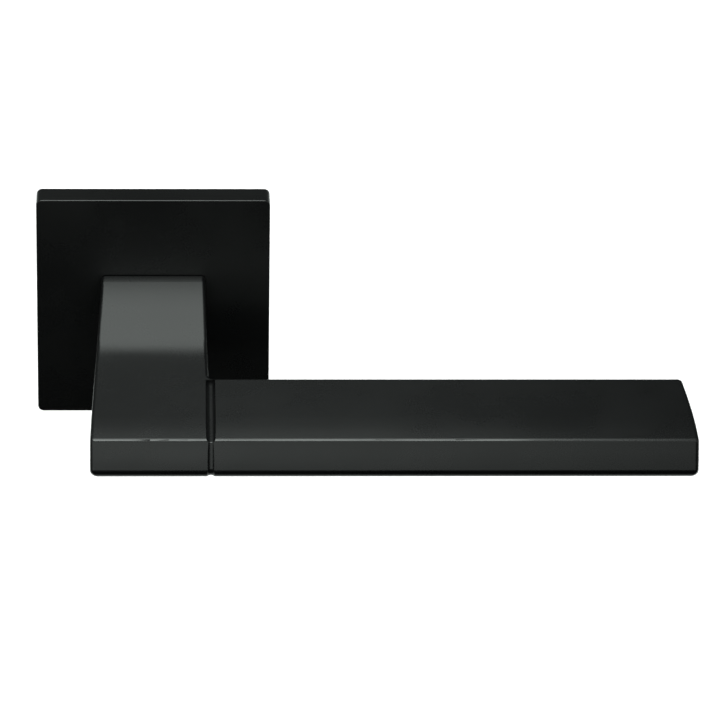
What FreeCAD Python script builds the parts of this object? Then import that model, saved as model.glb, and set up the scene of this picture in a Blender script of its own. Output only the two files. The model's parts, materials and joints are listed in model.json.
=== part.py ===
import FreeCAD, Part
import math
import os

import Sketcher

# Door lever handle on a square rose: one side of a set, as fitted to a door.
# +Z is up, +X runs along the lever and +Y points into the door. The origin is where the
# spindle's axis meets the door's face, so everything in front of the door has negative Y.
# Lengths named *_out are distances in front of the door's face, measured along -Y.

doc = FreeCAD.newDocument("door_lever_handle")

# alias, value, meaning
SIZES = [
    ("rose_half", 27.5, "half the side of the square rose"),
    ("rose_out", 6.7, "front face of the rose cover"),
    ("cover_inner_half", 26.4, "half the inside of the cover"),
    ("cover_inner_out", 5.6, "inside of the cover's front wall"),
    ("cover_hole_rad", 7.6, "hole for the lever's spigot"),
    ("rose_corner_rad", 1.4, "upright corners of the cover"),
    ("rose_edge_rad", 0.18, "front edges of the cover"),
    ("base_half", 25.9, "half the side of the base plate"),
    ("base_out", 5.4, "front face of the base plate"),
    ("base_corner_rad", 1.5, "corners of the base plate"),
    ("web_out", 4.4, "floor of the spring pocket"),
    ("pocket_rad", 14.2, "spring pocket"),
    ("lobe_pocket_end", 17.9, "side pocket for the driver's lobe, outer end, below the axis"),
    ("lobe_pocket_half", 12.4, "side pocket, half its width"),
    ("boss_rad", 9.5, "bearing boss in the pocket"),
    ("boss_out", 1.95, "rear end of the boss and of the bush"),
    ("bush_outer_rad", 8.3, "bush, outside"),
    ("bush_bore_rad", 7.05, "bush, bore"),
    ("fixing_half", 19.0, "half the pitch of the bolts, which stand level with the spindle"),
    ("lug_rad", 3.75, "locating lugs that enter the door"),
    ("lug_depth", 6.0, "how far the lugs enter the door"),
    ("bolt_rad", 2.0, "through bolt's thread"),
    ("bolt_neck_rad", 1.65, "its plain neck, within the base plate and its lug"),
    ("bolt_neck_depth", 6.5, "where the thread starts, just past the lug"),
    ("bolt_hole_rad", 2.2, "hole for the through bolt"),
    ("bolt_head_rad", 3.8, "pan head of the through bolt"),
    ("bolt_head_pocket_rad", 4.1, "counterbore for the bolt head"),
    ("bolt_head_seat_out", 2.9, "seat of the bolt head"),
    ("bolt_head_out", 5.1, "top of the bolt head"),
    ("bolt_depth", 42.0, "how far the bolts enter the door"),
    ("wood_screw_at", 19.8, "wood screw, distance along X and Z from the spindle"),
    ("wood_screw_rad", 1.75, "wood screw core and thread"),
    ("wood_screw_hole_rad", 1.95, "hole for the wood screw"),
    ("sink_depth", 1.6, "countersink for the wood screw"),
    ("wood_head_rad", 3.2, "countersunk head of the wood screw"),
    ("wood_head_out", 5.1, "face of the countersunk head"),
    ("wood_head_len", 1.45, "height of the countersunk head"),
    ("wood_screw_depth", 12.0, "how far the wood screws enter the door"),
    ("neck_back_out", 7.1, "back of the neck, just clear of the rose"),
    ("neck_half", 12.2, "half the neck's width at the rose"),
    ("neck_half_front", 14.45, "the neck's left side at the front face"),
    ("neck_half_grip", 12.95, "the neck's right side where it meets the grip"),
    ("neck_side_rad", 1500.0, "slight outward bow of the neck's left side"),
    ("neck_top_back", 8.1, "top of the neck at the rose, above the axis"),
    ("neck_low_back", -7.9, "underside of the neck at the rose"),
    ("slope_top_out", 8.6, "where the top turns down to its slope"),
    ("slope_top_up", 8.0, "height of the top there"),
    ("slope_rad", 4.0, "radius of that turn"),
    ("bend_top_out", 27.7, "foot of the slope, where the top turns out to the grip"),
    ("bend_top_up", -1.9, "height of the top there"),
    ("bend_top_rad", 24.0, "radius of the hollow there"),
    ("crown_out", 53.0, "where the top starts to curve down to its front edge"),
    ("crown_up", -6.5, "height of the top there"),
    ("crown_rad", 85.0, "radius of that curve"),
    ("lip_out", 61.0, "upper edge of the lever's front face"),
    ("lip_up", -8.35, "height of that edge"),
    ("foot_out", 62.8, "lower edge of the front face, which leans out"),
    ("grip_low", -18.3, "height of that edge"),
    ("front_face_rad", 80.0, "slight outward bow of the front face"),
    ("grip_back_out", 37.7, "back of the grip"),
    ("grip_end_back", 123.1, "end of the grip at its back"),
    ("grip_end_front", 125.7, "end of the grip at its front"),
    ("grip_end_rad", 200.0, "crown of the grip's end in plan"),
    ("corner_rad", 1.4, "inside corner between neck and grip"),
    ("bottom_rad", 2.1, "rounding of the lower edges"),
    ("upright_rad", 1.2, "rounding of the upright edges"),
    ("edge_rad", 0.85, "rounding of the other edges"),
    ("groove_x", 13.33, "decorative groove between neck and grip"),
    ("groove_depth", 0.6, "its depth along the top"),
    ("groove_front_depth", 0.12, "its depth down the front face, where it almost fades out"),
    ("groove_low_depth", 0.25, "its depth along the underside"),
    ("groove_cut_rad", 1.2, "radius of its rounded section"),
    ("groove_end_out", 38.7, "where it ends, short of the grip's back"),
    ("spigot_rad", 7.0, "spigot that turns in the bush"),
    ("spigot_root_out", 8.3, "front end of the spigot, within the neck"),
    ("spigot_depth", 3.2, "rear end of the spigot, inside the door"),
    ("spigot_flat_half", 6.2, "half the distance across the spigot's flats"),
    ("bore_half", 4.1, "half the square hole in the lever"),
    ("bore_out", 13.2, "blind end of the square hole"),
    ("spindle_half", 4.0, "half the side of the square spindle"),
    ("spindle_out", 12.8, "front end of the spindle"),
    ("spindle_depth", 46.0, "rear end of the spindle, inside the door"),
    ("spindle_chamfer", 0.8, "chamfer of the spindle's ends"),
    ("grub_out", 10.2, "set screw that holds the spindle"),
    ("grub_rad", 2.5, "set screw"),
    ("grub_hole_rad", 2.55, "its threaded hole"),
    ("grub_len", 4.0, "length of the set screw"),
    ("grub_hex_half", 1.25, "half the set screw's socket across flats"),
    ("driver_front_out", 1.25, "front face of the spring driver"),
    ("driver_thick", 1.0, "spring driver"),
    ("driver_rad", 13.8, "spring driver's disc"),
    ("driver_flat_half", 6.25, "half its hole across the flats"),
    ("driver_hole_rad", 7.05, "its hole"),
    ("lobe_rad", 17.3, "reach of the driver's stop lobe"),
    ("lobe_half", 3.0, "half the lobe's width"),
    ("stop_pin_at", 15.4, "stop pins, distance from the axis"),
    ("stop_pin_rad", 1.2, "stop pins"),
    ("stop_gap", 0.2, "room left between the lobe and a stop pin"),
    ("travel", 45.0, "the lever's turn between the stops, in degrees"),
    ("leg_pin_at", 12.5, "pins at the spring's legs, distance from the axis"),
    ("leg_pin_rad", 0.8, "those pins"),
    ("spring_mean_rad", 10.8, "return spring, mean radius"),
    ("spring_wire_rad", 0.55, "return spring, wire"),
    ("spring_turns", 1.4, "return spring, turns"),
    ("spring_pitch", 1.2, "return spring, pitch"),
    ("spring_rear_out", 2.03, "return spring, centre line of its rear end"),
    ("friction_out", 1.85, "friction washer, its front face"),
    ("friction_outer_rad", 9.3, "friction washer, outside"),
    ("washer_outer_rad", 10.5, "thrust washer, outside"),
    ("washer_bore_rad", 7.15, "bore of both washers"),
    ("washer_thick", 0.5, "both washers"),
    ("thrust_depth", 0.4, "thrust washer, its front face inside the door"),
    ("clip_groove_rad", 6.45, "retaining ring's groove"),
    ("clip_depth", 1.0, "retaining ring, its front face inside the door"),
    ("clip_thick", 1.0, "retaining ring"),
    ("clip_outer_rad", 8.6, "retaining ring, outside"),
    ("clip_ear_rad", 1.5, "retaining ring's ears"),
    ("leaf_half", 5.0, "cover clip, half its length"),
    ("leaf_thick", 0.4, "cover clip"),
    ("leaf_high", 3.6, "cover clip, width of its strip"),
    ("leaf_rad", 22.0, "cover clip, curve of its strip"),
    ("leaf_seat", 25.3, "cover clip, distance of its ends from the axis"),
    ("leaf_notch", 25.2, "notch for the clip in the base plate's side"),
    ("leaf_notch_half", 5.4, "half the notch's length"),
    ("plan_out", 64.0, "front of the lever's outline in plan, just past its front face"),
    ("trim_half", 150.0, "reach of the sketch that trims the lever in plan"),
    ("cut_high", 80.0, "height of the cuts that pass right through"),
]

sheet = doc.addObject("Spreadsheet::Sheet", "Sizes")
for row, (alias, number, meaning) in enumerate(SIZES, start=1):
    sheet.set("A%d" % row, meaning)
    sheet.set("B%d" % row, str(number))
    sheet.setAlias("B%d" % row, alias)
doc.recompute()


def size(name):
    """Value of a sheet cell; a leading minus turns its sign."""
    if name.startswith("-"):
        return -float(sheet.get(name[1:]))
    return float(sheet.get(name))


def cell(name):
    """The same as an expression."""
    return "-Sizes." + name[1:] if name.startswith("-") else "Sizes." + name


def bind(thing, **properties):
    """Ties properties of an object to cells or to whole expressions."""
    for name, formula in properties.items():
        path = name.replace("__", ".")
        thing.setExpression(path, formula if "Sizes." in formula else cell(formula))


# Sketches ---------------------------------------------------------------------------------

def new_body(name):
    body = doc.addObject("PartDesign::Body", name)
    body.Label = name
    return body


def new_sketch(body, name, role):
    sketch = body.newObject("Sketcher::SketchObject", name)
    plane = [f for f in body.Origin.OriginFeatures if f.Role == role][0]
    sketch.AttachmentSupport = [(plane, "")]
    sketch.MapMode = "FlatFace"
    return sketch


def fix_coordinate(sketch, kind, geometry, end, name):
    """Ties one coordinate of a point to a cell; "0" puts the point on the axis."""
    if name == "0":
        axis = -2 if kind == "DistanceX" else -1
        sketch.addConstraint(Sketcher.Constraint("PointOnObject", geometry, end, axis))
        return
    datum = Sketcher.Constraint(kind, -1, 1, geometry, end, size(name))
    number = sketch.addConstraint(datum)
    sketch.setExpression("Constraints[%d]" % number, cell(name))


def add_circle(sketch, h, v, radius):
    centre = FreeCAD.Vector(0 if h == "0" else size(h), 0 if v == "0" else size(v), 0)
    upward = FreeCAD.Vector(0, 0, 1)
    circle = sketch.addGeometry(Part.Circle(centre, upward, size(radius)), False)
    fix_coordinate(sketch, "DistanceX", circle, 3, h)
    fix_coordinate(sketch, "DistanceY", circle, 3, v)
    number = sketch.addConstraint(Sketcher.Constraint("Radius", circle, size(radius)))
    sketch.setExpression("Constraints[%d]" % number, cell(radius))


def arc_between(start, end, radius, side):
    """Arc from start to end; side +1 puts its centre on the left of the way, -1 on the right."""
    chord = end - start
    half = chord.Length / 2
    left = FreeCAD.Vector(-chord.y, chord.x, 0).normalize()
    centre = (start + end) / 2 + left * side * math.sqrt(radius ** 2 - half ** 2)
    first = start if side > 0 else end
    last = end if side > 0 else start
    begin = math.atan2(first.y - centre.y, first.x - centre.x)
    finish = math.atan2(last.y - centre.y, last.x - centre.x)
    circle = Part.Circle(centre, FreeCAD.Vector(0, 0, 1), radius)
    return Part.ArcOfCircle(circle, begin, finish)


def add_outline(sketch, corners, arcs=None):
    """Closed outline through corners of cell names. arcs: side number -> (radius cell, side)."""
    arcs = arcs or {}
    points = [FreeCAD.Vector(*[0 if n == "0" else size(n) for n in c], 0) for c in corners]
    starts = []
    ends = []
    for n, start in enumerate(points):
        end = points[(n + 1) % len(points)]
        if n in arcs:
            radius, side = arcs[n]
            geometry = sketch.addGeometry(arc_between(start, end, size(radius), side), False)
            turned = side < 0
            number = sketch.addConstraint(Sketcher.Constraint("Radius", geometry, size(radius)))
            sketch.setExpression("Constraints[%d]" % number, cell(radius))
        else:
            geometry = sketch.addGeometry(Part.LineSegment(start, end), False)
            turned = False
        starts.append((geometry, 2 if turned else 1))
        ends.append((geometry, 1 if turned else 2))
    for n, (geometry, end) in enumerate(starts):
        last_geometry, last_end = ends[n - 1]
        joined = Sketcher.Constraint("Coincident", last_geometry, last_end, geometry, end)
        sketch.addConstraint(joined)
        fix_coordinate(sketch, "DistanceX", geometry, end, corners[n][0])
        fix_coordinate(sketch, "DistanceY", geometry, end, corners[n][1])


def add_square(sketch, half):
    minus = "-" + half
    add_outline(sketch, [(minus, minus), (half, minus), (half, half), (minus, half)])


# Features ---------------------------------------------------------------------------------

def move_out(sketch, out):
    """Moves a sketch on the door's plane to a distance in front of it, given by an expression."""
    sketch.setExpression("AttachmentOffset.Base.z", out if "Sizes." in out else cell(out))


def pad(body, sketch, length, backwards=False, both=False):
    feature = body.newObject("PartDesign::Pad", sketch.Name + "_pad")
    feature.Profile = sketch
    feature.Reversed = backwards
    feature.Midplane = both
    bind(feature, Length=length)
    sketch.Visibility = False
    doc.recompute()


def pocket(body, sketch, length, backwards=False, both=False):
    before = body.Shape.Volume
    feature = body.newObject("PartDesign::Pocket", sketch.Name + "_pocket")
    feature.Profile = sketch
    feature.Reversed = backwards
    feature.Midplane = both
    bind(feature, Length=length)
    sketch.Visibility = False
    doc.recompute()
    if body.Shape.Volume > before - 0.01:
        raise RuntimeError(sketch.Name + " cuts nothing")


def fillet(body, name, radius, wanted):
    """Rounds every edge of the body for which wanted(edge) is true."""
    base = body.Tip
    edges = ["Edge%d" % (n + 1) for n, edge in enumerate(base.Shape.Edges) if wanted(edge)]
    if not edges:
        raise RuntimeError(name + " finds no edge")
    feature = body.newObject("PartDesign::Fillet", name)
    feature.Base = (base, edges)
    bind(feature, Radius=radius)
    doc.recompute()


def middle(edge):
    return edge.valueAt((edge.FirstParameter + edge.LastParameter) / 2)


def lies_at(edge, **place):
    """True where every vertex and the middle of an edge lie at the given coordinates."""
    points = [v.Point for v in edge.Vertexes] + [middle(edge)]
    return all(abs(getattr(p, axis) - at) < 0.02 for p in points for axis, at in place.items())


# Turned and plain pieces --------------------------------------------------------------------

def rod(name, radius, front, length, x="0", z="0"):
    """Cylinder along Y: its front end is `front` before the door, and it runs back from there."""
    cylinder = doc.addObject("Part::Cylinder", name)
    cylinder.Placement.Rotation = FreeCAD.Rotation(FreeCAD.Vector(1, 0, 0), -90)
    bind(cylinder, Radius=radius, Height=length)
    bind(cylinder, Placement__Base__y="-(%s)" % (front if "Sizes." in front else cell(front)))
    for axis, name_at in (("x", x), ("z", z)):
        if name_at != "0":
            formula = name_at if "Sizes." in name_at else cell(name_at)
            cylinder.setExpression("Placement.Base." + axis, formula)
    return cylinder


def cone(name, front, front_radius, rear_radius, length, x, z):
    """Cone along Y, from its front radius back to its rear radius."""
    body = doc.addObject("Part::Cone", name)
    body.Placement.Rotation = FreeCAD.Rotation(FreeCAD.Vector(1, 0, 0), -90)
    bind(body, Radius1=front_radius, Radius2=rear_radius, Height=length)
    bind(body, Placement__Base__x=x, Placement__Base__z=z)
    bind(body, Placement__Base__y="-(%s)" % cell(front))
    return body


def four_round(name, piece):
    """The piece and three copies of it, a quarter turn apart round the spindle's axis."""
    doc.recompute()
    copies = []
    for quarter in range(4):
        copy = piece.Shape.copy()
        copy.rotate(FreeCAD.Vector(), FreeCAD.Vector(0, 1, 0), 90 * quarter)
        copies.append(copy)
    group = doc.addObject("Part::Feature", name)
    group.Shape = Part.makeCompound(copies)
    return group


def block(name, half_x, half_z, front, length):
    """Box centred on the axis: its front end is `front` before the door."""
    box = doc.addObject("Part::Box", name)
    bind(box, Length="2 * (%s)" % cell(half_x), Width=length, Height="2 * (%s)" % cell(half_z))
    bind(box, Placement__Base__x="-(%s)" % cell(half_x))
    bind(box, Placement__Base__z="-(%s)" % cell(half_z))
    bind(box, Placement__Base__y="-(%s)" % (front if "Sizes." in front else cell(front)))
    return box


def combine(kind, name, *pieces):
    if kind == "Part::Cut":
        result = doc.addObject(kind, name)
        result.Base, result.Tool = pieces
    elif kind == "Part::Compound":
        result = doc.addObject(kind, name)
        result.Links = list(pieces)
    else:
        result = doc.addObject(kind, name)
        result.Shapes = list(pieces)
    return result


# Lever --------------------------------------------------------------------------------------

def face_normals(shape, edge):
    """Outward normals, at an edge's middle, of the two faces that meet there."""
    point = middle(edge)
    return [f.normalAt(*f.Surface.parameter(point)) for f in shape.ancestorsOfType(edge, Part.Face)]


def round_lever(body):
    """Rounds the casting's edges, more at the bottom, and leaves the rear outline sharp."""
    edges = []
    for n, edge in enumerate(body.Shape.Edges, start=1):
        one, other = face_normals(body.Shape, edge)
        if one.getAngle(other) < 0.2 or lies_at(edge, y=-size("neck_back_out")):
            continue
        if abs(one.z) < 0.01 and abs(other.z) < 0.01:
            radius = size("upright_rad")
        elif min(one.z, other.z) < -0.5:
            radius = size("bottom_rad")
        else:
            radius = size("edge_rad")
        edges.append((n, radius, radius))
    rounded = doc.addObject("Part::Fillet", "lever_rounded")
    rounded.Base = body
    rounded.Edges = edges
    doc.recompute()
    return rounded


def line_height(start, end, out):
    """Height, at a distance in front of the door, of the line through two named corners."""
    (out_1, up_1), (out_2, up_2) = [[size(name) for name in corner] for corner in (start, end)]
    return up_1 + (up_2 - up_1) * (out - out_1) / (out_2 - out_1)


def rounded_path(points, radii):
    """Open path through the points, with an arc of its own radius at each inner corner."""
    edges = []
    last_end = points[0]
    for before, corner, after, radius in zip(points, points[1:], points[2:], radii):
        back = (before - corner).normalize()
        ahead = (after - corner).normalize()
        half = back.getAngle(ahead) / 2
        begin = corner + back * (radius / math.tan(half))
        end = corner + ahead * (radius / math.tan(half))
        bisector = (back + ahead).normalize()
        crown = corner + bisector * (radius / math.sin(half) - radius)
        edges.append(Part.makeLine(last_end, begin))
        edges.append(Part.Arc(begin, crown, end).toShape())
        last_end = end
    edges.append(Part.makeLine(last_end, points[-1]))
    return Part.Wire(edges)


def moved_corner(before, corner, after, one_out, other_out):
    """Where two sides of an outline meet once each has moved outwards by its own amount."""
    one, other = [FreeCAD.Vector(-way.y, way.x, 0) for way in
                  ((corner - before).normalize(), (after - corner).normalize())]
    both = one.dot(other)
    shift = one * (one_out - both * other_out) + other * (other_out - both * one_out)
    return corner + shift / (1 - both * both)


def groove_cutter():
    """Round cutter that runs from the back of the grip's top, over its front and under it."""
    top = (("bend_top_out", "bend_top_up"), ("lip_out", "lip_up"))
    low = (("neck_back_out", "neck_low_back"), ("foot_out", "grip_low"))
    end_out = size("groove_end_out")
    outline = [FreeCAD.Vector(out, up, 0) for out, up in (
        (end_out, size("trim_half")),
        (end_out, line_height(*top, end_out)),
        (size("lip_out"), size("lip_up")),
        (size("foot_out"), size("grip_low")),
        (end_out, line_height(*low, end_out)),
        (end_out, -size("trim_half")),
    )]
    top_out, front_out, low_out = [size("groove_cut_rad") - size(depth) for depth in
                                   ("groove_depth", "groove_front_depth", "groove_low_depth")]
    moves = [(0, top_out), (top_out, front_out), (front_out, low_out), (low_out, 0)]
    radii = [size("edge_rad") + top_out, size("bottom_rad") + front_out]
    path = [moved_corner(*outline[n:n + 3], *move) for n, move in enumerate(moves)]
    points = [FreeCAD.Vector(size("groove_x"), -point.x, point.y) for point in path]
    wire = rounded_path(points, radii)
    circle = Part.Circle(points[0], points[1] - points[0], size("groove_cut_rad"))
    cutter = doc.addObject("Part::Feature", "groove_cutter")
    cutter.Shape = wire.makePipeShell([Part.Wire(circle.toShape())], True, False)
    return cutter


def spigot_tools():
    """What is cut from the spigot: two flats, the ring's groove and the square hole."""
    flats_from = "Sizes.driver_front_out + Sizes.stop_gap / 4"
    flats = []
    for name, side in (("upper", ""), ("lower", "-")):
        box = doc.addObject("Part::Box", name + "_flat")
        bind(box, Length="4 * Sizes.spigot_rad", Width="cut_high", Height="spigot_rad")
        bind(box, Placement__Base__x="-2 * Sizes.spigot_rad")
        bind(box, Placement__Base__y="-(%s)" % flats_from)
        below = "-Sizes.spigot_flat_half - Sizes.spigot_rad"
        bind(box, Placement__Base__z=below if side else "spigot_flat_half")
        flats.append(box)
    ring_length = "Sizes.clip_thick + Sizes.stop_gap / 2"
    groove = combine(
        "Part::Cut", "ring_groove",
        rod("ring_groove_outside", "2 * Sizes.spigot_rad", "-Sizes.clip_depth", ring_length),
        rod("ring_groove_inside", "clip_groove_rad", "-Sizes.clip_depth", ring_length),
    )
    bore = block("square_bore", "bore_half", "bore_half", "bore_out", "cut_high")
    return flats + [groove, bore]


def make_lever():
    """One casting: neck, grip and the spigot that turns in the rose."""
    body = new_body("lever_casting")
    side = new_sketch(body, "lever_side", "YZ_Plane")
    add_outline(side, [
        ("-neck_back_out", "neck_top_back"),
        ("-slope_top_out", "slope_top_up"),
        ("-bend_top_out", "bend_top_up"),
        ("-crown_out", "crown_up"),
        ("-lip_out", "lip_up"),
        ("-foot_out", "grip_low"),
        ("-neck_back_out", "neck_low_back"),
    ], arcs={3: ("crown_rad", 1), 4: ("front_face_rad", 1)})
    pad(body, side, "2 * Sizes.grip_end_front + Sizes.rose_half", both=True)
    plan = new_sketch(body, "lever_plan", "XY_Plane")
    add_square(plan, "trim_half")
    add_outline(plan, [
        ("-neck_half", "-neck_back_out"),
        ("-neck_half_front", "-plan_out"),
        ("grip_end_front", "-plan_out"),
        ("grip_end_back", "-grip_back_out"),
        ("neck_half_grip", "-grip_back_out"),
        ("neck_half", "-neck_back_out"),
    ], arcs={0: ("neck_side_rad", 1), 2: ("grip_end_rad", 1)})
    pocket(body, plan, "cut_high", both=True)
    slope_top = dict(y=-size("slope_top_out"), z=size("slope_top_up"))
    top_bend = dict(y=-size("bend_top_out"), z=size("bend_top_up"))
    corner = dict(x=size("neck_half_grip"), y=-size("grip_back_out"))
    fillet(body, "top_slope", "slope_rad", lambda edge: lies_at(edge, **slope_top))
    fillet(body, "top_bend", "bend_top_rad", lambda edge: lies_at(edge, **top_bend))
    fillet(body, "inside_corner", "corner_rad", lambda edge: lies_at(edge, **corner))
    rounded = round_lever(body)
    spigot = rod("spigot", "spigot_rad", "spigot_root_out",
                 "Sizes.spigot_root_out + Sizes.spigot_depth")
    whole = combine("Part::MultiFuse", "lever_with_spigot", rounded, spigot)
    grub_hole = doc.addObject("Part::Cylinder", "grub_hole")
    bind(grub_hole, Radius="grub_hole_rad", Height="-Sizes.grip_low")
    bind(grub_hole, Placement__Base__y="-grub_out", Placement__Base__z="grip_low")
    tools = combine("Part::Compound", "lever_tools", groove_cutter(), grub_hole, *spigot_tools())
    return combine("Part::Cut", "lever_handle", whole, tools)


def make_spindle():
    body = new_body("spindle")
    section = new_sketch(body, "spindle_section", "XZ_Plane")
    move_out(section, "spindle_out")
    add_square(section, "spindle_half")
    pad(body, section, "Sizes.spindle_out + Sizes.spindle_depth", backwards=True)
    ends = [-size("spindle_out"), size("spindle_depth")]
    base = body.Tip
    edges = ["Edge%d" % n for n, edge in enumerate(base.Shape.Edges, start=1)
             if any(lies_at(edge, y=end) for end in ends)]
    chamfer = body.newObject("PartDesign::Chamfer", "spindle_ends")
    chamfer.Base = (base, edges)
    bind(chamfer, Size="spindle_chamfer")
    return body


def make_grub_screw():
    """Cup-pointed set screw with a hexagon socket, upright under the neck."""
    top = "-Sizes.spindle_half - Sizes.stop_gap / 4"
    screw = doc.addObject("Part::Cylinder", "grub_blank")
    bind(screw, Radius="grub_rad", Height="grub_len")
    socket = doc.addObject("Part::Prism", "grub_socket")
    socket.Polygon = 6
    bind(socket, Circumradius="Sizes.grub_hex_half / cos(30)", Height="Sizes.grub_len / 2")
    for piece in (screw, socket):
        bind(piece, Placement__Base__y="-grub_out", Placement__Base__z=top + " - Sizes.grub_len")
    return combine("Part::Cut", "grub_screw", screw, socket)


# Rose ---------------------------------------------------------------------------------------

def upright(edge):
    """True for an edge that runs along Y."""
    one, other = [v.Point for v in edge.Vertexes]
    return abs(one.x - other.x) < 0.01 and abs(one.z - other.z) < 0.01


def make_cover():
    """Square pressed cover, open at the door, with the hole for the spigot."""
    body = new_body("rose_cover")
    outline = new_sketch(body, "cover_outline", "XZ_Plane")
    add_square(outline, "rose_half")
    pad(body, outline, "rose_out")
    fillet(body, "cover_corners", "rose_corner_rad", upright)
    fillet(body, "cover_edges", "rose_edge_rad", lambda edge: lies_at(edge, y=-size("rose_out")))
    inside = new_sketch(body, "cover_inside", "XZ_Plane")
    add_square(inside, "cover_inner_half")
    pocket(body, inside, "cover_inner_out", backwards=True)
    hole = new_sketch(body, "cover_opening", "XZ_Plane")
    add_circle(hole, "0", "0", "cover_hole_rad")
    pocket(body, hole, "2 * Sizes.rose_out", backwards=True)
    return body


def polar(distance, turn):
    """X and Z formulas of a place round the axis, turned in degrees as the lever is pressed."""
    reach = cell(distance)
    return ("%s * cos(%s)" % (reach, turn), "-%s * sin(%s)" % (reach, turn))


# The spring's legs stand at these turns at rest, and its pins beside them
fixed_leg = 200.0
moving_leg = fixed_leg + 360 * (size("spring_turns") - 1)
leg_step = "(Sizes.leg_pin_rad + Sizes.spring_wire_rad) / Sizes.leg_pin_at * 180 / pi"
anchor_turn = "%g + %s" % (fixed_leg, leg_step)
driver_turn = "%g - %s" % (moving_leg, leg_step)
stop_step = "(Sizes.lobe_half + Sizes.stop_pin_rad + Sizes.stop_gap) / Sizes.stop_pin_at"
stop_turn = "90deg %s (Sizes.travel / 2 * 1deg + asin(%s))"
stop_turns = [stop_turn % (side, stop_step) for side in "+-"]


def make_base():
    """Die-cast plate: bearing boss, spring pocket, locating lugs and the fixing holes."""
    body = new_body("base_casting")
    outline = new_sketch(body, "base_outline", "XZ_Plane")
    add_square(outline, "base_half")
    pad(body, outline, "base_out")
    fillet(body, "base_corners", "base_corner_rad", upright)
    lugs = new_sketch(body, "lugs", "XZ_Plane")
    add_circle(lugs, "fixing_half", "0", "lug_rad")
    add_circle(lugs, "-fixing_half", "0", "lug_rad")
    pad(body, lugs, "lug_depth", backwards=True)
    spring_room = new_sketch(body, "spring_room", "XZ_Plane")
    add_circle(spring_room, "0", "0", "pocket_rad")
    add_circle(spring_room, "0", "0", "boss_rad")
    pocket(body, spring_room, "web_out", backwards=True)
    lobe_room = new_sketch(body, "lobe_room", "XZ_Plane")
    add_outline(lobe_room, [
        ("-lobe_pocket_half", "-lobe_pocket_end"),
        ("lobe_pocket_half", "-lobe_pocket_end"),
        ("lobe_pocket_half", "-washer_outer_rad"),
        ("-lobe_pocket_half", "-washer_outer_rad"),
    ])
    pocket(body, lobe_room, "web_out", backwards=True)
    boss_end = new_sketch(body, "boss_end", "XZ_Plane")
    add_circle(boss_end, "0", "0", "washer_outer_rad")
    pocket(body, boss_end, "boss_out", backwards=True)
    holes = new_sketch(body, "holes", "XZ_Plane")
    add_circle(holes, "0", "0", "bush_outer_rad")
    add_circle(holes, "fixing_half", "0", "bolt_hole_rad")
    add_circle(holes, "-fixing_half", "0", "bolt_hole_rad")
    add_circle(holes, "-wood_screw_at", "wood_screw_at", "wood_screw_hole_rad")
    add_circle(holes, "wood_screw_at", "-wood_screw_at", "wood_screw_hole_rad")
    pocket(body, holes, "cut_high", both=True)
    seats = new_sketch(body, "bolt_seats", "XZ_Plane")
    move_out(seats, "bolt_head_seat_out")
    add_circle(seats, "fixing_half", "0", "bolt_head_pocket_rad")
    add_circle(seats, "-fixing_half", "0", "bolt_head_pocket_rad")
    pocket(body, seats, "base_out", backwards=True)
    return cut_base(body)


def wood_screw_places():
    return [("-wood_screw_at", "wood_screw_at"), ("wood_screw_at", "-wood_screw_at")]


def cut_base(body):
    """Countersinks, pin holes and the notches for the cover clips."""
    tools = []
    mouth = "Sizes.wood_screw_hole_rad + Sizes.sink_depth"
    for n, (x, z) in enumerate(wood_screw_places(), start=1):
        sink = cone("countersink_%d" % n, "base_out", mouth, "wood_screw_hole_rad", "sink_depth", x, z)
        tools.append(sink)
    deep = "2 * Sizes.base_out"
    for n, turn in enumerate(stop_turns, start=1):
        x, z = polar("stop_pin_at", turn)
        tools.append(rod("stop_pin_hole_%d" % n, "stop_pin_rad", deep, deep, x, z))
    x, z = polar("leg_pin_at", anchor_turn)
    tools.append(rod("anchor_pin_hole", "leg_pin_rad", deep, deep, x, z))
    notch = doc.addObject("Part::Box", "leaf_notch_box")
    bind(notch, Length="base_half", Width="Sizes.leaf_high + 2 * Sizes.stop_gap")
    bind(notch, Height="2 * Sizes.leaf_notch_half", Placement__Base__x="leaf_notch")
    bind(notch, Placement__Base__y="-Sizes.leaf_high - Sizes.leaf_thick - Sizes.stop_gap")
    bind(notch, Placement__Base__z="-leaf_notch_half")
    tools.append(four_round("leaf_notches", notch))
    tool = combine("Part::Compound", "base_tools", *tools)
    return combine("Part::Cut", "base_plate", body, tool)


def make_clips():
    """Bowed spring-steel strips that hold the cover on the base plate."""
    ends = size("leaf_seat")
    half = size("leaf_half")
    bow = size("leaf_rad")
    rise = bow - math.sqrt(bow ** 2 - half ** 2)
    thick = size("leaf_thick")
    arcs = []
    for x in (ends, ends + thick):
        points = [FreeCAD.Vector(x, 0, -half), FreeCAD.Vector(x + rise, 0, 0)]
        points.append(FreeCAD.Vector(x, 0, half))
        arcs.append(Part.Arc(*points).toShape())
    tips = []
    for side in (-half, half):
        inner = FreeCAD.Vector(ends, 0, side)
        tips.append(Part.makeLine(inner, inner + FreeCAD.Vector(thick, 0, 0)))
    strip = Part.Face(Part.Wire(Part.sortEdges(arcs + tips)[0]))
    leaf = doc.addObject("Part::Feature", "cover_clip_strip")
    leaf.Shape = strip.extrude(FreeCAD.Vector(0, -size("leaf_high"), 0))
    leaf.Placement.Base.y = -thick
    return four_round("cover_clips", leaf)


# Bearing, spring and stops --------------------------------------------------------------------

def ring(name, outer, inner, front, length):
    """Plain washer or bush round the axis."""
    longer = "2 * (%s)" % (length if "Sizes." in length else cell(length))
    formulas = [f if "Sizes." in f else cell(f) for f in (front, length)]
    middle_front = "(%s) + (%s) / 2" % tuple(formulas)
    return combine("Part::Cut", name, rod(name + "_blank", outer, front, length),
                   rod(name + "_bore", inner, middle_front, longer))


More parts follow.
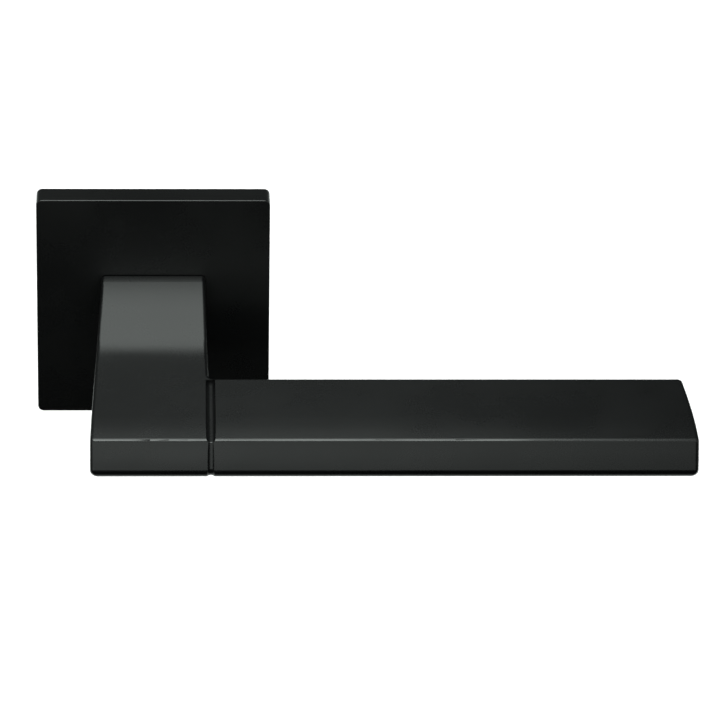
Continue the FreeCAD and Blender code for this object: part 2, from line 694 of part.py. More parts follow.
def double_d(name, radius, flat_half, front, length):
    """Round bar with two flats, facing up and down."""
    bar = rod(name + "_bar", radius, front, length)
    between = block(name + "_flats", radius, flat_half, front, length)
    return combine("Part::MultiCommon", name, bar, between)


def make_driver():
    """Disc keyed to the spigot, with the lobe that meets the stops."""
    disc = rod("driver_disc", "driver_rad", "driver_front_out", "driver_thick")
    lobe = doc.addObject("Part::Box", "driver_lobe")
    bind(lobe, Length="lobe_rad", Width="driver_thick", Height="2 * Sizes.lobe_half")
    # At rest the lobe points down, half the travel short of straight down
    turn = 90 - size("travel") / 2
    lobe.Placement.Rotation = FreeCAD.Rotation(FreeCAD.Vector(0, 1, 0), turn)
    bind(lobe, Placement__Base__x="-Sizes.lobe_half * sin(90 - Sizes.travel / 2)")
    bind(lobe, Placement__Base__y="-driver_front_out")
    bind(lobe, Placement__Base__z="-Sizes.lobe_half * cos(90 - Sizes.travel / 2)")
    blank = combine("Part::MultiFuse", "driver_blank", disc, lobe)
    hole = double_d("driver_hole", "driver_hole_rad", "driver_flat_half",
                    "2 * Sizes.driver_front_out", "4 * Sizes.driver_front_out")
    x, z = polar("leg_pin_at", driver_turn)
    pin_hole = rod("driver_pin_hole", "leg_pin_rad", "2 * Sizes.base_out", "4 * Sizes.base_out", x, z)
    tools = combine("Part::Compound", "driver_tools", hole, pin_hole)
    return combine("Part::Cut", "spring_driver", blank, tools)


def make_pins():
    """Stop pins and the two pins that the spring's legs lean on."""
    floor = "Sizes.base_out - Sizes.stop_gap"
    stops = []
    for n, turn in enumerate(stop_turns, start=1):
        x, z = polar("stop_pin_at", turn)
        length = "Sizes.base_out - 2 * Sizes.stop_gap"
        stops.append(rod("stop_pin_%d" % n, "stop_pin_rad", floor, length, x, z))
    combine("Part::Compound", "stop_pins", *stops)
    x, z = polar("leg_pin_at", anchor_turn)
    reach = "Sizes.base_out - Sizes.driver_front_out - 3 * Sizes.stop_gap"
    rod("anchor_pin", "leg_pin_rad", floor, reach, x, z)
    x, z = polar("leg_pin_at", driver_turn)
    front = "Sizes.web_out - 2 * Sizes.stop_gap"
    reach = front + " - Sizes.driver_front_out + Sizes.driver_thick"
    rod("driver_pin", "leg_pin_rad", front, reach, x, z)


def make_spring():
    """Torsion spring round the boss, with a straight leg at each end that points outwards."""
    wire = size("spring_wire_rad")
    radius = size("spring_mean_rad")
    turns = size("spring_turns")
    pitch = size("spring_pitch")
    rear = -size("spring_rear_out")
    coil = Part.makeHelix(pitch, pitch * turns, radius)
    # The helix starts on +X and climbs along its own Z, which is then laid along -Y
    coil.rotate(FreeCAD.Vector(), FreeCAD.Vector(1, 0, 0), 90)
    coil.rotate(FreeCAD.Vector(), FreeCAD.Vector(0, 1, 0), moving_leg)
    coil.translate(FreeCAD.Vector(0, rear, 0))
    path = Part.Wire(coil)
    first = path.Edges[0]
    start = first.valueAt(first.FirstParameter)
    section = Part.Wire(Part.Circle(start, first.tangentAt(first.FirstParameter), wire).toShape())
    solid = path.makePipeShell([section], True, True)
    for turn, y in ((moving_leg, rear), (fixed_leg, rear - pitch * turns)):
        angle = math.radians(turn)
        outward = FreeCAD.Vector(math.cos(angle), 0, -math.sin(angle))
        foot = outward * radius + FreeCAD.Vector(0, y, 0)
        reach = size("pocket_rad") - radius - wire
        solid = solid.fuse(Part.makeCylinder(wire, reach, foot, outward))
        solid = solid.fuse(Part.makeSphere(wire, foot))
    spring = doc.addObject("Part::Feature", "return_spring")
    spring.Shape = solid
    return spring


def make_retaining_ring():
    """External ring with a gap and two eared ends, below the spigot."""
    front = "-Sizes.clip_depth"
    band = ring("retaining_band", "clip_outer_rad", "clip_groove_rad", front, "clip_thick")
    ears = []
    holes = []
    middle_rad = "(Sizes.clip_outer_rad + Sizes.clip_groove_rad) / 2"
    z = "-%s - Sizes.clip_ear_rad / 2" % middle_rad
    for name, sign in (("right", ""), ("left", "-")):
        x = sign + "Sizes.clip_ear_rad * 1.25"
        ears.append(rod("ring_ear_" + name, "clip_ear_rad", front, "clip_thick", x, z))
        holes.append(rod("ear_hole_" + name, "Sizes.clip_ear_rad * 0.42",
                         "Sizes.clip_depth", "4 * Sizes.clip_thick", x, z))
    gap = doc.addObject("Part::Box", "ring_gap")
    bind(gap, Length="Sizes.clip_ear_rad", Width="4 * Sizes.clip_thick", Height="2 * Sizes.clip_outer_rad")
    bind(gap, Placement__Base__x="-Sizes.clip_ear_rad / 2", Placement__Base__z="-2 * Sizes.clip_outer_rad")
    room = rod("ring_room", "clip_groove_rad", "Sizes.clip_depth", "4 * Sizes.clip_thick")
    blank = combine("Part::MultiFuse", "retaining_blank", band, *ears)
    cuts = combine("Part::Compound", "retaining_cuts", gap, room, *holes)
    return combine("Part::Cut", "retaining_ring", blank, cuts)


# Fixings --------------------------------------------------------------------------------------

def cross_slot(name, width, length, front, depth, x, z):
    """Two crossed boxes that cut a driver's recess into a screw head."""
    bars = []
    for n, (wide, high) in enumerate(((length, width), (width, length))):
        bar = doc.addObject("Part::Box", "%s_bar_%d" % (name, n))
        bind(bar, Length=wide, Width=depth, Height=high)
        for axis, at, across in (("x", x, wide), ("z", z, high)):
            start = "0" if at == "0" else cell(at)
            bar.setExpression("Placement.Base." + axis, "%s - (%s) / 2" % (start, across))
        bind(bar, Placement__Base__y="-(%s)" % cell(front))
        bars.append(bar)
    return combine("Part::Compound", name, *bars)


def make_bolts():
    """Pan-headed machine screws that pass through the door to the other rose."""
    bolts = []
    for n, x in enumerate(("fixing_half", "-fixing_half"), start=1):
        head = rod("bolt_head_%d" % n, "bolt_head_rad", "bolt_head_out",
                   "Sizes.bolt_head_out - Sizes.bolt_head_seat_out", x)
        inside_head = "Sizes.bolt_head_seat_out + Sizes.bolt_rad / 2"
        neck = rod("bolt_neck_%d" % n, "bolt_neck_rad", inside_head,
                   inside_head + " + Sizes.bolt_neck_depth + Sizes.bolt_rad", x)
        thread = rod("bolt_thread_%d" % n, "bolt_rad", "-Sizes.bolt_neck_depth",
                     "Sizes.bolt_depth - Sizes.bolt_neck_depth", x)
        blank = combine("Part::MultiFuse", "bolt_blank_%d" % n, head, neck, thread)
        doc.recompute()
        rounding = size("edge_rad")
        rim = [(k, rounding, rounding) for k, edge in enumerate(blank.Shape.Edges, start=1)
               if edge.isClosed() and lies_at(edge, y=-size("bolt_head_out"))]
        rounded = doc.addObject("Part::Fillet", "bolt_rounded_%d" % n)
        rounded.Base = blank
        rounded.Edges = rim
        slot = cross_slot("bolt_slot_%d" % n, "Sizes.bolt_rad * 0.4", "Sizes.bolt_rad * 1.8",
                          "bolt_head_out", "Sizes.bolt_rad * 0.6", x, "0")
        bolts.append(combine("Part::Cut", "bolt_%d" % n, rounded, slot))
    return combine("Part::Compound", "through_bolts", *bolts)


def make_wood_screws():
    """Countersunk screws that hold the base plate to the door's face."""
    screws = []
    for n, (x, z) in enumerate(wood_screw_places(), start=1):
        head = cone("wood_head_%d" % n, "wood_head_out", "wood_head_rad",
                    "wood_screw_rad", "wood_head_len", x, z)
        neck = "Sizes.wood_head_out - Sizes.wood_head_len"
        point = "Sizes.wood_screw_rad * 2.5"
        shank = rod("wood_shank_%d" % n, "wood_screw_rad", neck,
                    "%s + Sizes.wood_screw_depth - %s" % (neck, point), x, z)
        tip = cone("wood_tip_%d" % n, "-wood_screw_depth", "wood_screw_rad",
                   "Sizes.wood_screw_rad / 8", point, x, z)
        bind(tip, Placement__Base__y="Sizes.wood_screw_depth - " + point)
        blank = combine("Part::MultiFuse", "wood_blank_%d" % n, head, shank, tip)
        slot = cross_slot("wood_slot_%d" % n, "Sizes.wood_screw_rad * 0.45", "Sizes.wood_screw_rad * 2",
                          "wood_head_out", "Sizes.wood_screw_rad * 0.7", x, z)
        screws.append(combine("Part::Cut", "wood_screw_%d" % n, blank, slot))
    return combine("Part::Compound", "wood_screws", *screws)


# Assembly and export --------------------------------------------------------------------------

make_lever()
make_spindle()
make_grub_screw()
make_cover()
make_base()
make_clips()
ring("bearing_bush", "bush_outer_rad", "bush_bore_rad", "base_out", "Sizes.base_out - Sizes.boss_out")
ring("friction_washer", "friction_outer_rad", "washer_bore_rad", "friction_out", "washer_thick")
make_driver()
make_pins()
make_spring()
ring("thrust_washer", "washer_outer_rad", "washer_bore_rad", "-Sizes.thrust_depth", "washer_thick")
make_retaining_ring()
make_bolts()
make_wood_screws()
doc.recompute()

NODES = [
    "lever_handle", "spindle", "grub_screw", "spring_driver", "driver_pin", "thrust_washer",
    "retaining_ring", "rose_cover", "base_plate", "cover_clips", "bearing_bush", "friction_washer",
    "return_spring", "stop_pins", "anchor_pin", "through_bolts", "wood_screws",
]

for thing in doc.Objects:
    if any(word in thing.State for word in ("Invalid", "Error")):
        raise RuntimeError("%s did not compute: %s" % (thing.Label, thing.State))

os.makedirs("parts", exist_ok=True)
for node in NODES:
    piece = doc.getObject(node)
    if piece.Shape.isNull() or not piece.Shape.isValid():
        raise RuntimeError(node + " has no valid shape")
    piece.Label = node
    piece.Shape.exportStep("parts/%s.step" % node)
    box = piece.Shape.BoundBox
    print("%-16s %2d solids  %9.1f mm3  x %6.1f %6.1f  y %6.1f %6.1f  z %6.1f %6.1f" % (
        node, len(piece.Shape.Solids), piece.Shape.Volume,
        box.XMin, box.XMax, box.YMin, box.YMax, box.ZMin, box.ZMax))
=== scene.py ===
import json
import math

import bmesh
import bpy
from mathutils import Matrix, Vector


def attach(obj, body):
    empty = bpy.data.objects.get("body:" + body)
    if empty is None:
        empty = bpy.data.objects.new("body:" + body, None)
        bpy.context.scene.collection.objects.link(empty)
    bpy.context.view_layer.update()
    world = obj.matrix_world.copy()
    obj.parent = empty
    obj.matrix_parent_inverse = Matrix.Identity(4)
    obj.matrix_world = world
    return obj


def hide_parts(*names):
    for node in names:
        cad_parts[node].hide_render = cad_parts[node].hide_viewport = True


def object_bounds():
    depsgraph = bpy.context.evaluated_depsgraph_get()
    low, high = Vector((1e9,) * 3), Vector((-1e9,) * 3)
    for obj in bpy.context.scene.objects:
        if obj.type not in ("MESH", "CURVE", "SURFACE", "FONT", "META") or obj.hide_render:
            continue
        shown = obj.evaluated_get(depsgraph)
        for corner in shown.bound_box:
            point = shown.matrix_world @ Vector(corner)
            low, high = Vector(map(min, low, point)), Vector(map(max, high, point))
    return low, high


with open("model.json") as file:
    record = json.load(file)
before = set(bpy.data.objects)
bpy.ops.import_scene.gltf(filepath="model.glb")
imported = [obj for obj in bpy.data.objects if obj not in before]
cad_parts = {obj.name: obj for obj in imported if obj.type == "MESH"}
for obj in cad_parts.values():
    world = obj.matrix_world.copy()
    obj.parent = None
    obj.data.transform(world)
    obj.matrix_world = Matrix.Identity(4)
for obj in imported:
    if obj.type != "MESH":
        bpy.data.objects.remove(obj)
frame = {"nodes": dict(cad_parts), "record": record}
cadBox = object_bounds()
nodes = frame["nodes"]
scene = bpy.context.scene
wholeTurn = 2.0 * math.pi
print("frame loaded:", len(nodes), "nodes")


class Value:
    # One output socket of a shader tree; the operators add Math nodes
    def __init__(self, sheet, socket):
        self.sheet = sheet
        self.socket = socket

    def maths(self, operation, *others):
        sockets = dict(enumerate(others))
        return self.sheet.add("ShaderNodeMath", {"operation": operation}, sockets)

    def __add__(self, other):
        return self.maths("ADD", self, other)

    def __radd__(self, other):
        return self.maths("ADD", other, self)

    def __sub__(self, other):
        return self.maths("SUBTRACT", self, other)

    def __rsub__(self, other):
        return self.maths("SUBTRACT", other, self)

    def __mul__(self, other):
        return self.maths("MULTIPLY", self, other)

    def __rmul__(self, other):
        return self.maths("MULTIPLY", other, self)


class Sheet:
    # A shader tree that nodes are added to one by one
    def __init__(self, tree):
        self.tree = tree
        self.tree.nodes.clear()

    def add(self, kind, settings=None, sockets=None, out=0):
        node = self.tree.nodes.new(kind)
        for name, setting in (settings or {}).items():
            if name == "stops":
                self.fillRamp(node.color_ramp, setting)
            else:
                setattr(node, name, setting)
        for name, given in (sockets or {}).items():
            if isinstance(given, Value):
                self.tree.links.new(given.socket, node.inputs[name])
            else:
                node.inputs[name].default_value = given
        return Value(self, node.outputs[out] if len(node.outputs) else None)

    def fillRamp(self, ramp, stops):
        while len(ramp.elements) < len(stops):
            ramp.elements.new(1.0)
        for element, (place, colour) in zip(ramp.elements, stops):
            element.position = place
            element.color = (*colour, 1.0)

    def place(self, stretch=(1, 1, 1)):
        here = self.add("ShaderNodeTexCoord", out=3)
        return self.add("ShaderNodeMapping", None, {"Vector": here, "Scale": stretch})

    def noise(self, where, scale, detail=2.0, rough=0.5):
        sockets = {"Vector": where, "Scale": scale, "Detail": detail, "Roughness": rough}
        return self.add("ShaderNodeTexNoise", None, sockets)

    def spread(self, factor, low, high, toLow=0.0, toHigh=1.0):
        # Runs smoothly from toLow to toHigh as the factor goes from low to high
        sockets = {"Value": factor, "From Min": low, "From Max": high}
        sockets.update({"To Min": toLow, "To Max": toHigh})
        return self.add("ShaderNodeMapRange", {"interpolation_type": "SMOOTHSTEP"}, sockets)

    def blendColours(self, factor, one, other):
        sockets = {0: factor, 6: (*one, 1.0), 7: (*other, 1.0)}
        return self.add("ShaderNodeMix", {"data_type": "RGBA"}, sockets, out=2)

    def bump(self, height):
        # The height is in metres
        sockets = {"Height": height, "Strength": 1.0, "Distance": 1.0}
        return self.add("ShaderNodeBump", None, sockets)


def newFinish(name, build):
    material = bpy.data.materials.new(name)
    material.use_nodes = True
    sheet = Sheet(material.node_tree)
    surface = sheet.add("ShaderNodeBsdfPrincipled", None, build(sheet))
    sheet.add("ShaderNodeOutputMaterial", None, {"Surface": surface})
    return material


blackCoatLook = {
    "deepBlack": (0.0010, 0.0012, 0.0013),
    "worn": (0.0018, 0.0021, 0.0022),
    "ior": 1.5,
    "roughness": 0.26,
    "smoother": 0.015,
    "rougher": 0.02,
    "grainRoughness": 0.03,
    "cloudPerMetre": 45.0,
    "toneRange": (0.35, 0.7),
    "roughRange": (0.3, 0.7),
    "grainPerMetre": 5200.0,
    "grainDepth": 0.0000016,
    "ripplePerMetre": 260.0,
    "rippleDepth": 0.0000050,
}


def blackCoat(sheet):
    look = blackCoatLook
    here = sheet.place()
    cloud = sheet.noise(here, look["cloudPerMetre"], detail=3.0)
    grain = sheet.noise(here, look["grainPerMetre"], rough=0.6)
    ripple = sheet.noise(here, look["ripplePerMetre"], detail=1.0)
    height = grain * look["grainDepth"] + ripple * look["rippleDepth"]
    tone = sheet.spread(cloud, *look["toneRange"])
    smooth = look["roughness"] - look["smoother"]
    dull = look["roughness"] + look["rougher"]
    rough = sheet.spread(cloud, *look["roughRange"], smooth, dull)
    return {
        "Base Color": sheet.blendColours(tone, look["deepBlack"], look["worn"]),
        "Roughness": rough + grain * look["grainRoughness"],
        "IOR": look["ior"],
        "Normal": sheet.bump(height),
    }


castZincLook = {
    "dark": (0.25, 0.255, 0.26),
    "light": (0.47, 0.475, 0.48),
    "metallic": 0.85,
    "smooth": 0.40,
    "dull": 0.56,
    "flowStretch": (1.0, 1.0, 0.45),
    "flowPerMetre": 180.0,
    "flowShare": 0.7,
    "grainPerMetre": 2600.0,
    "grainShare": 0.3,
    "toneRange": (0.32, 0.68),
    "roughRange": (0.3, 0.7),
    "reliefDepth": 0.000012,
}


def castZinc(sheet):
    look = castZincLook
    flowAt = sheet.place(look["flowStretch"])
    flow = sheet.noise(flowAt, look["flowPerMetre"], detail=4.0, rough=0.6)
    grain = sheet.noise(sheet.place(), look["grainPerMetre"], detail=3.0, rough=0.65)
    shade = flow * look["flowShare"] + grain * look["grainShare"]
    tone = sheet.spread(shade, *look["toneRange"])
    return {
        "Base Color": sheet.blendColours(tone, look["dark"], look["light"]),
        "Metallic": look["metallic"],
        "Roughness": sheet.spread(flow, *look["roughRange"], look["smooth"], look["dull"]),
        "Normal": sheet.bump(grain * look["reliefDepth"] + flow * look["reliefDepth"]),
    }


# What the four steels share; each one's own colours and lines follow
steelPattern = {
    "cloudPerMetre": 420.0,
    "cloudShare": 0.6,
    "drawnPerMetre": 1500.0,
    "drawnShare": 0.4,
    "toneRange": (0.34, 0.66),
    "roughRange": (0.3, 0.7),
    "smoother": 0.05,
    "rougher": 0.08,
}

zincSteelLook = {
    "dark": (0.55, 0.56, 0.57),
    "light": (0.70, 0.70, 0.67),
    "roughness": 0.32,
    "lines": 3.0,
    "lineDepth": 0.0000014,
}

groundSteelLook = {
    "dark": (0.50, 0.50, 0.51),
    "light": (0.66, 0.66, 0.67),
    "roughness": 0.24,
    "lines": 6.0,
    "lineDepth": 0.0000014,
}

blackSteelLook = {
    "dark": (0.018, 0.018, 0.020),
    "light": (0.045, 0.044, 0.046),
    "roughness": 0.42,
    "lines": 2.0,
    "lineDepth": 0.0000030,
}

springSteelLook = {
    "dark": (0.16, 0.15, 0.14),
    "light": (0.34, 0.33, 0.31),
    "roughness": 0.33,
    "lines": 2.0,
    "lineDepth": 0.0000030,
}


def platedSteel(look):
    # Plated or drawn steel: fine lines run across the Y axis, over a cloudy tone
    def build(sheet):
        pattern = steelPattern
        cloud = sheet.noise(sheet.place(), pattern["cloudPerMetre"], detail=3.0, rough=0.6)
        drawnAt = sheet.place((1.0, look["lines"], 1.0))
        drawn = sheet.noise(drawnAt, pattern["drawnPerMetre"], rough=0.55)
        shade = cloud * pattern["cloudShare"] + drawn * pattern["drawnShare"]
        tone = sheet.spread(shade, *pattern["toneRange"])
        smooth = look["roughness"] - pattern["smoother"]
        dull = look["roughness"] + pattern["rougher"]
        return {
            "Base Color": sheet.blendColours(tone, look["dark"], look["light"]),
            "Metallic": 1.0,
            "Roughness": sheet.spread(cloud, *pattern["roughRange"], smooth, dull),
            "Normal": sheet.bump(drawn * look["lineDepth"]),
        }
    return build


nylonLook = {
    "dark": (0.60, 0.585, 0.53),
    "light": (0.74, 0.73, 0.68),
    "smooth": 0.38,
    "dull": 0.52,
    "cloudPerMetre": 300.0,
    "grainPerMetre": 4000.0,
    "grainDepth": 0.000004,
    "noiseRange": (0.3, 0.7),
}


def nylon(sheet):
    look = nylonLook
    cloud = sheet.noise(sheet.place(), look["cloudPerMetre"], detail=3.0)
    grain = sheet.noise(sheet.place(), look["grainPerMetre"])
    tone = sheet.spread(cloud, *look["noiseRange"])
    return {
        "Base Color": sheet.blendColours(tone, look["dark"], look["light"]),
        "Roughness": sheet.spread(grain, *look["noiseRange"], look["smooth"], look["dull"]),
        "Normal": sheet.bump(grain * look["grainDepth"]),
    }


finishes = {
    "black_coat": newFinish("satinBlackCoat", blackCoat),
    "cast_zinc": newFinish("castZinc", castZinc),
    "zinc_steel": newFinish("zincPlatedSteel", platedSteel(zincSteelLook)),
    "bright_steel": newFinish("groundSteel", platedSteel(groundSteelLook)),
    "black_steel": newFinish("blackOxideSteel", platedSteel(blackSteelLook)),
    "spring_steel": newFinish("oilTemperedSteel", platedSteel(springSteelLook)),
    "nylon": newFinish("naturalNylon", nylon),
}
for part in frame["record"]["subparts"]:
    for slot in nodes[part["node"]].material_slots:
        slot.material = finishes[part["material_slot"]]
print("finishes made:", len(finishes))


boltThread = {
    "node": "through_bolts",
    "from": 0.0065,
    "to": 0.0420,
    "crest": 0.0020,
    "core": 0.00158,
    "pitch": 0.0007,
    "around": 28,
    "ringsPerPitch": 7,
    "runOut": 0.0010,
    "tip": 0.0009,
    "tipScale": 0.74,
}

woodThread = {
    "node": "wood_screws",
    "from": 0.0010,
    "to": 0.0120,
    "crest": 0.00175,
    "core": 0.00112,
    "pitch": 0.0014,
    "around": 28,
    "ringsPerPitch": 14,
    "runOut": 0.0012,
    "tip": 0.0042,
    "tipScale": 0.06,
}

# The ridge's flat top and flank slope, how fast it fades at the tip, and the mesh tolerances
threadForm = {
    "ridgeTop": 1.12,
    "ridgeSlope": 1.35,
    "tipFade": 3.0,
    "weld": 0.000002,
    "cutTolerance": 0.0000001,
    "sharpFrom": 32.0,
}


def clamp(number):
    return min(max(number, 0.0), 1.0)


def threadRadius(look, along, angle):
    # The ridge climbs one pitch for each turn; it grows in at the start and shrinks at the tip
    turn = (along / look["pitch"] - angle / wholeTurn) % 1.0
    ridge = clamp(threadForm["ridgeTop"] - threadForm["ridgeSlope"] * abs(2.0 * turn - 1.0))
    grown = clamp((along - look["from"]) / look["runOut"])
    left = clamp((look["to"] - along) / look["tip"])
    scale = look["tipScale"] + (1.0 - look["tipScale"]) * math.sqrt(left)
    core = look["core"] * scale
    fade = clamp(left * threadForm["tipFade"])
    return core + (look["crest"] * scale - core) * ridge * grown * fade


def cutThread(shape, x, z, look):
    # A ring is drawn along the screw's axis, and each new ring takes the thread's radius there
    turned = Matrix.Translation((x, look["from"], z)) @ Matrix.Rotation(math.radians(90.0), 4, "X")
    made = bmesh.ops.create_circle(shape, segments=look["around"], radius=look["core"], matrix=turned)
    ring = made["verts"]
    edges = [edge for edge in shape.edges if edge.verts[0] in ring and edge.verts[1] in ring]
    first = edges
    count = round((look["to"] - look["from"]) / look["pitch"] * look["ringsPerPitch"])
    for step in range(1, count + 1):
        along = look["from"] + (look["to"] - look["from"]) * step / count
        grown = bmesh.ops.extrude_edge_only(shape, edges=edges)["geom"]
        ring = [part for part in grown if isinstance(part, bmesh.types.BMVert)]
        edges = [part for part in grown if isinstance(part, bmesh.types.BMEdge)]
        for vert in ring:
            angle = math.atan2(vert.co.x - x, vert.co.z - z)
            radius = threadRadius(look, along, angle)
            vert.co = (x + radius * math.sin(angle), along, z + radius * math.cos(angle))
    bmesh.ops.contextual_create(shape, geom=edges)
    return first


def threadedScrews(name, look):
    # Heads and plain necks come from the frame's node; the threads are cut afresh
    shape = bmesh.new()
    shape.from_mesh(nodes[look["node"]].data)
    bmesh.ops.remove_doubles(shape, verts=shape.verts, dist=threadForm["weld"])
    everything = shape.verts[:] + shape.edges[:] + shape.faces[:]
    bmesh.ops.bisect_plane(shape, geom=everything, dist=threadForm["cutTolerance"],
                           plane_co=(0, look["from"], 0), plane_no=(0, 1, 0), clear_outer=True)
    rims = [edge for edge in shape.edges if edge.is_boundary]
    for side in (-1.0, 1.0):
        rim = [edge for edge in rims if edge.verts[0].co.x * side > 0.0]
        x = sum(edge.verts[0].co.x for edge in rim) / len(rim)
        z = sum(edge.verts[0].co.z for edge in rim) / len(rim)
        start = cutThread(shape, x, z, look)
        bmesh.ops.bridge_loops(shape, edges=rim + start)
    bmesh.ops.recalc_face_normals(shape, faces=shape.faces)
    for face in shape.faces:
        face.smooth = True
    for edge in shape.edges:
        edge.smooth = edge.calc_face_angle(0.0) < math.radians(threadForm["sharpFrom"])
    mesh = bpy.data.meshes.new(name)
    shape.to_mesh(mesh)
    shape.free()
    piece = bpy.data.objects.new(name, mesh)
    scene.collection.objects.link(piece)
    mesh.materials.append(finishes["zinc_steel"])
    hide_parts(look["node"])
    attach(piece, "rose")
    print(name, "made with", len(mesh.polygons), "faces")


threadedScrews("threaded_bolts", boltThread)
threadedScrews("threaded_wood_screws", woodThread)

viewpoint = {
    "place": (0.00392, -1.24353, 0.57861),
    "pitchDown": 25.603,
    "turnRight": 1.891,
    "lens": 288.0,
    "sensor": 36.0,
}


def makeCamera():
    data = bpy.data.cameras.new("camera")
    data.lens = viewpoint["lens"]
    data.sensor_width = viewpoint["sensor"]
    camera = bpy.data.objects.new("camera", data)
    tilt = Matrix.Rotation(math.radians(90.0 - viewpoint["pitchDown"]), 4, "X")
    turn = Matrix.Rotation(-math.radians(viewpoint["turnRight"]), 4, "Y")
    camera.matrix_world = Matrix.Translation(viewpoint["place"]) @ tilt @ turn
    scene.collection.objects.link(camera)
    scene.camera = camera


# The sky list is the light from each direction round the X axis, in degrees up from the back.
# The lamp only lights the dull surfaces; gloss comes from the panels and the sky.
studio = {
    "floorBelow": 0.90,
    "floorSide": 60.0,
    "floorColour": (0.86, 0.86, 0.86),
    "floorPaler": 0.02,
    "floorCloudPerMetre": 3.0,
    "floorRoughness": 0.9,
    "lampPower": 4.2,
    "lampSpread": 75.0,
    "backdropWhite": 1.05,
    "skyTop": 1.1,
    "skyStart": -90.0,
    "tint": (0.925, 1.0, 0.96),
    "sky": [
        (-90.0, 0.60), (-60.0, 1.10), (-20.0, 1.10), (-4.0, 0.15), (25.0, 0.065), (45.0, 0.045),
        (56.0, 0.10), (64.0, 0.40), (145.0, 0.25), (156.0, 0.90), (168.0, 0.80), (177.0, 0.15),
        (188.0, 0.02), (255.0, 0.02), (270.0, 0.60),
    ],
}

softBox = {
    "height": 0.28,
    "back": 0.100,
    "middle": -0.10,
    "front": -0.43,
    "left": -0.145,
    "right": 0.150,
    "softEdge": 0.10,
    "edgeLight": 0.02,
    "fadeEachWay": 0.06,
    "nearPower": 2.7,
    "farPower": 7.5,
}

frontStrip = {
    "away": -0.55,
    "low": -0.105,
    "high": 0.040,
    "left": -0.50,
    "right": 0.30,
    "softEdge": 0.30,
    "edgeLight": 0.15,
    "softTop": 0.06,
    "topLight": 0.1,
    "softFoot": 0.025,
    "power": 1.70,
}

backCard = {
    "away": 0.35,
    "low": 0.30,
    "high": 0.62,
    "left": -0.45,
    "right": 0.30,
    "fullTo": 0.05,
    "dimFrom": 0.22,
    "dimLight": 0.15,
    "power": 0.25,
}


def makeSky():
    sky = bpy.data.worlds.new("softStudio")
    sky.use_nodes = True
    scene.world = sky
    sheet = Sheet(sky.node_tree)
    way = sheet.add("ShaderNodeTexCoord", out=0)
    split = sheet.add("ShaderNodeSeparateXYZ", None, {"Vector": way})
    back, up = [Value(sheet, socket) for socket in split.socket.node.outputs[1:]]
    turn = up.maths("ARCTAN2", 0.0 - back, up)
    stops = []
    for angle, light in studio["sky"]:
        colour = [light / studio["skyTop"] * part for part in studio["tint"]]
        stops.append(((angle - studio["skyStart"]) / 360.0, colour))
    place = turn * (1.0 / wholeTurn) + 0.5
    ramp = sheet.add("ShaderNodeValToRGB", {"stops": stops}, {"Fac": place})
    lit = sheet.add("ShaderNodeBackground", None, {"Color": ramp, "Strength": studio["skyTop"]})
    plain = {"Color": (1, 1, 1, 1), "Strength": studio["backdropWhite"]}
    white = sheet.add("ShaderNodeBackground", None, plain)
    seen = sheet.add("ShaderNodeLightPath", out=0)
    shown = sheet.add("ShaderNodeMixShader", None, {0: seen, 1: lit, 2: white})
    sheet.add("ShaderNodeOutputWorld", None, {"Surface": shown})


def flatSheet(name, width, length, matrix):
    # A rectangle, made flat at the origin and then put in place through its mesh
    mesh = bpy.data.meshes.new(name)
    shape = bmesh.new()
    bmesh.ops.create_grid(shape, x_segments=1, y_segments=1, size=0.5)
    bmesh.ops.scale(shape, vec=(width, length, 1.0), verts=shape.verts)
    bmesh.ops.transform(shape, matrix=matrix, verts=shape.verts)
    shape.to_mesh(mesh)
    shape.free()
    thing = bpy.data.objects.new(name, mesh)
    scene.collection.objects.link(thing)
    return thing


def standingSheet(name, card):
    # A rectangle that stands across the Y axis, between the card's sides and heights
    width = card["right"] - card["left"]
    high = card["high"] - card["low"]
    middle = ((card["right"] + card["left"]) / 2, card["away"], (card["high"] + card["low"]) / 2)
    upright = Matrix.Translation(middle) @ Matrix.Rotation(math.radians(90.0), 4, "X")
    return flatSheet(name, width, high, upright)


def makeFloor():
    lowest = cadBox[0].z - studio["floorBelow"]
    side = studio["floorSide"]
    floor = flatSheet("floor", side, side, Matrix.Translation((0, 0, lowest)))

    def paper(sheet):
        cloud = sheet.noise(sheet.place(), studio["floorCloudPerMetre"])
        pale = studio["floorColour"]
        paler = tuple(studio["floorPaler"] + part for part in pale)
        colour = sheet.blendColours(cloud, pale, paler)
        return {"Base Color": colour, "Roughness": studio["floorRoughness"]}

    floor.data.materials.append(newFinish("paleFloor", paper))
    floor.visible_glossy = False
    floor.visible_diffuse = False


def glowing(name, power, build):
    # A panel's light: its brightness comes from build, which gets the sheet and the place in it
    material = bpy.data.materials.new(name)
    material.use_nodes = True
    sheet = Sheet(material.node_tree)
    split = sheet.add("ShaderNodeSeparateXYZ", None, {"Vector": sheet.place()})
    at = {axis: Value(sheet, socket) for axis, socket in zip("xyz", split.socket.node.outputs)}
    colour = sheet.blendColours(build(sheet, at), (0.0, 0.0, 0.0), studio["tint"])
    light = sheet.add("ShaderNodeEmission", None, {"Color": colour, "Strength": power})
    sheet.add("ShaderNodeOutputMaterial", None, {"Surface": light})
    return material


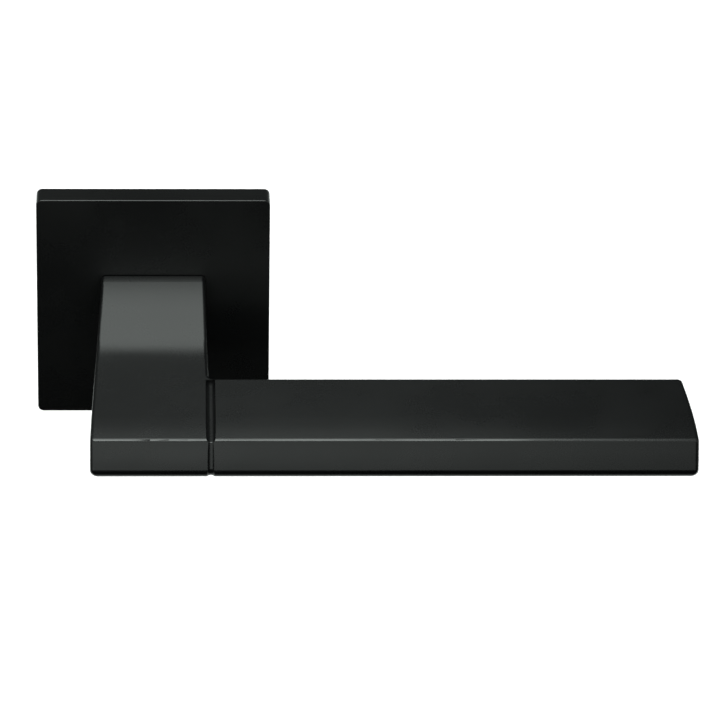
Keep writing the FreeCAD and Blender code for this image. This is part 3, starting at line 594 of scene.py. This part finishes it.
def showOnlyInGloss(panel):
    panel.visible_camera = False
    panel.visible_diffuse = False
    panel.visible_shadow = False


def makeSoftBox():
    box = softBox
    width = box["right"] - box["left"]
    length = box["back"] - box["front"]
    middle = ((box["right"] + box["left"]) / 2, (box["back"] + box["front"]) / 2, box["height"])
    panel = flatSheet("softBox", width, length, Matrix.Translation(middle))

    def brightness(sheet, at):
        edge = box["right"] - box["softEdge"]
        side = sheet.spread(at["x"], edge, box["right"], 1.0, box["edgeLight"])
        far = box["middle"] - box["fadeEachWay"]
        near = box["middle"] + box["fadeEachWay"]
        along = sheet.spread(at["y"], far, near, 1.0, box["nearPower"] / box["farPower"])
        return side * along

    panel.data.materials.append(glowing("softBoxLight", box["farPower"], brightness))
    showOnlyInGloss(panel)


def makeFrontStrip():
    strip = frontStrip
    panel = standingSheet("frontStrip", strip)

    def brightness(sheet, at):
        edge = strip["right"] - strip["softEdge"]
        side = sheet.spread(at["x"], edge, strip["right"], 1.0, strip["edgeLight"])
        fadeFrom = strip["high"] - strip["softTop"]
        top = sheet.spread(at["z"], fadeFrom, strip["high"], 1.0, strip["topLight"])
        foot = sheet.spread(at["z"], strip["low"], strip["low"] + strip["softFoot"])
        return side * top * foot

    panel.data.materials.append(glowing("frontStripLight", strip["power"], brightness))
    showOnlyInGloss(panel)


def makeBackCard():
    card = backCard
    panel = standingSheet("backCard", card)

    def brightness(sheet, at):
        return sheet.spread(at["x"], card["fullTo"], card["dimFrom"], 1.0, card["dimLight"])

    panel.data.materials.append(glowing("backCardLight", card["power"], brightness))
    showOnlyInGloss(panel)


def makeLamp():
    data = bpy.data.lights.new("overheadLamp", "SUN")
    data.energy = studio["lampPower"]
    data.angle = math.radians(studio["lampSpread"])
    lamp = bpy.data.objects.new("overheadLamp", data)
    scene.collection.objects.link(lamp)
    lamp.visible_glossy = False


makeCamera()
print("camera placed")
makeSky()
makeFloor()
makeSoftBox()
makeFrontStrip()
makeBackCard()
makeLamp()
scene.view_settings.view_transform = "Standard"
print("studio made")
